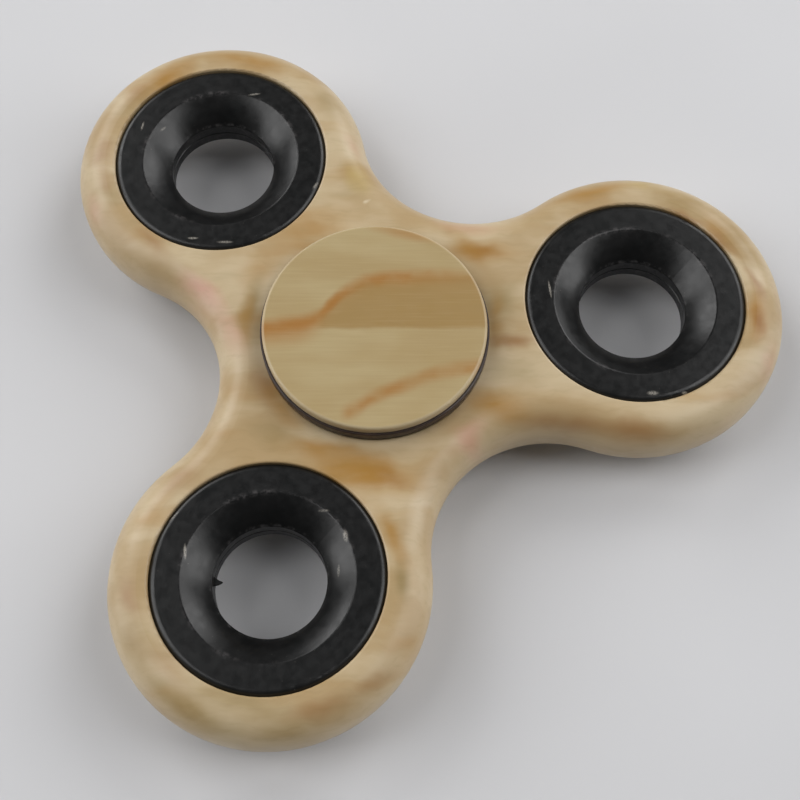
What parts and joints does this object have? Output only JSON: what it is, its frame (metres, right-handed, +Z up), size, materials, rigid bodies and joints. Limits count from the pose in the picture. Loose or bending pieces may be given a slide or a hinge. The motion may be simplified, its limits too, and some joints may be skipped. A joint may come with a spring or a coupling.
{
  "type": "fidget spinner",
  "caption": "Three-lobed hand spinner with a wood-grain body, black ring weights and a ball bearing held between two round finger caps.",
  "frame": {"origin": "on the spin axis, at the underside of the lower finger cap, where the spinner stands", "axes": "+Z up along the spin axis; +Y along the first lobe; the lobes follow every 120 degrees"},
  "size_m": [0.0758, 0.0697, 0.0118],
  "materials": {
    "wood_film": "satin lacquered wood-grain film over a moulded plastic body",
    "black_weight": "satin black coating, lightly scuffed",
    "bearing_steel": "ground bearing steel",
    "ball_steel": "polished",
    "cage_steel": "pressed sheet steel",
    "shield_steel": "pressed sheet steel",
    "clip_steel": "spring wire",
    "brown_plastic": "dark brown moulding, satin",
    "cap_print": "printed wood grain under a satin lacquer"
  },
  "bodies": {
    "hub": {"top_cap_button": "brown_plastic", "top_cap_face": "cap_print", "bottom_cap_button": "brown_plastic", "bottom_cap_face": "cap_print", "bearing_inner_ring": "bearing_steel"},
    "rotor": {"spinner_body": "wood_film", "ring_weight_1_upper": "black_weight", "ring_weight_1_lower": "black_weight", "ring_weight_2_upper": "black_weight", "ring_weight_2_lower": "black_weight", "ring_weight_3_upper": "black_weight", "ring_weight_3_lower": "black_weight", "bearing_outer_ring": "bearing_steel", "bearing_shield_top": "shield_steel", "bearing_shield_bottom": "shield_steel", "shield_clip_top": "clip_steel", "shield_clip_bottom": "clip_steel"},
    "cage": {"bearing_cage_upper": "cage_steel", "bearing_cage_lower": "cage_steel", "bearing_cage_rivets": "cage_steel"},
    "ball_1": {"bearing_ball_1": "ball_steel"},
    "ball_2": {"bearing_ball_2": "ball_steel"},
    "ball_3": {"bearing_ball_3": "ball_steel"},
    "ball_4": {"bearing_ball_4": "ball_steel"},
    "ball_5": {"bearing_ball_5": "ball_steel"},
    "ball_6": {"bearing_ball_6": "ball_steel"},
    "ball_7": {"bearing_ball_7": "ball_steel"}
  },
  "joints": [
    {"name": "rotor_spin", "type": "hinge", "parent": "hub", "child": "rotor", "pos_m": [0, 0, 0.0059], "axis": [0, 0, 1], "continuous": true},
    {"name": "cage_roll", "type": "hinge", "parent": "hub", "child": "cage", "pos_m": [0, 0, 0.0059], "axis": [0, 0, 1], "continuous": true},
    {"name": "ball_1_roll", "type": "hinge", "parent": "cage", "child": "ball_1", "pos_m": [0.0075, 0, 0.0059], "axis": [0, 0, 1], "continuous": true},
    {"name": "ball_2_roll", "type": "hinge", "parent": "cage", "child": "ball_2", "pos_m": [0.00468, 0.00586, 0.0059], "axis": [0, 0, 1], "continuous": true},
    {"name": "ball_3_roll", "type": "hinge", "parent": "cage", "child": "ball_3", "pos_m": [-0.00167, 0.00731, 0.0059], "axis": [0, 0, 1], "continuous": true},
    {"name": "ball_4_roll", "type": "hinge", "parent": "cage", "child": "ball_4", "pos_m": [-0.00676, 0.00325, 0.0059], "axis": [0, 0, 1], "continuous": true},
    {"name": "ball_5_roll", "type": "hinge", "parent": "cage", "child": "ball_5", "pos_m": [-0.00676, -0.00325, 0.0059], "axis": [0, 0, 1], "continuous": true},
    {"name": "ball_6_roll", "type": "hinge", "parent": "cage", "child": "ball_6", "pos_m": [-0.00167, -0.00731, 0.0059], "axis": [0, 0, 1], "continuous": true},
    {"name": "ball_7_roll", "type": "hinge", "parent": "cage", "child": "ball_7", "pos_m": [0.00468, -0.00586, 0.0059], "axis": [0, 0, 1], "continuous": true}
  ],
  "couplings": [
    {"joint": "cage_roll", "follows": "rotor_spin", "ratio": 0.6323},
    {"joint": "ball_1_roll", "follows": "rotor_spin", "ratio": 1.7573},
    {"joint": "ball_2_roll", "follows": "rotor_spin", "ratio": 1.7573},
    {"joint": "ball_3_roll", "follows": "rotor_spin", "ratio": 1.7573},
    {"joint": "ball_4_roll", "follows": "rotor_spin", "ratio": 1.7573},
    {"joint": "ball_5_roll", "follows": "rotor_spin", "ratio": 1.7573},
    {"joint": "ball_6_roll", "follows": "rotor_spin", "ratio": 1.7573},
    {"joint": "ball_7_roll", "follows": "rotor_spin", "ratio": 1.7573}
  ]
}
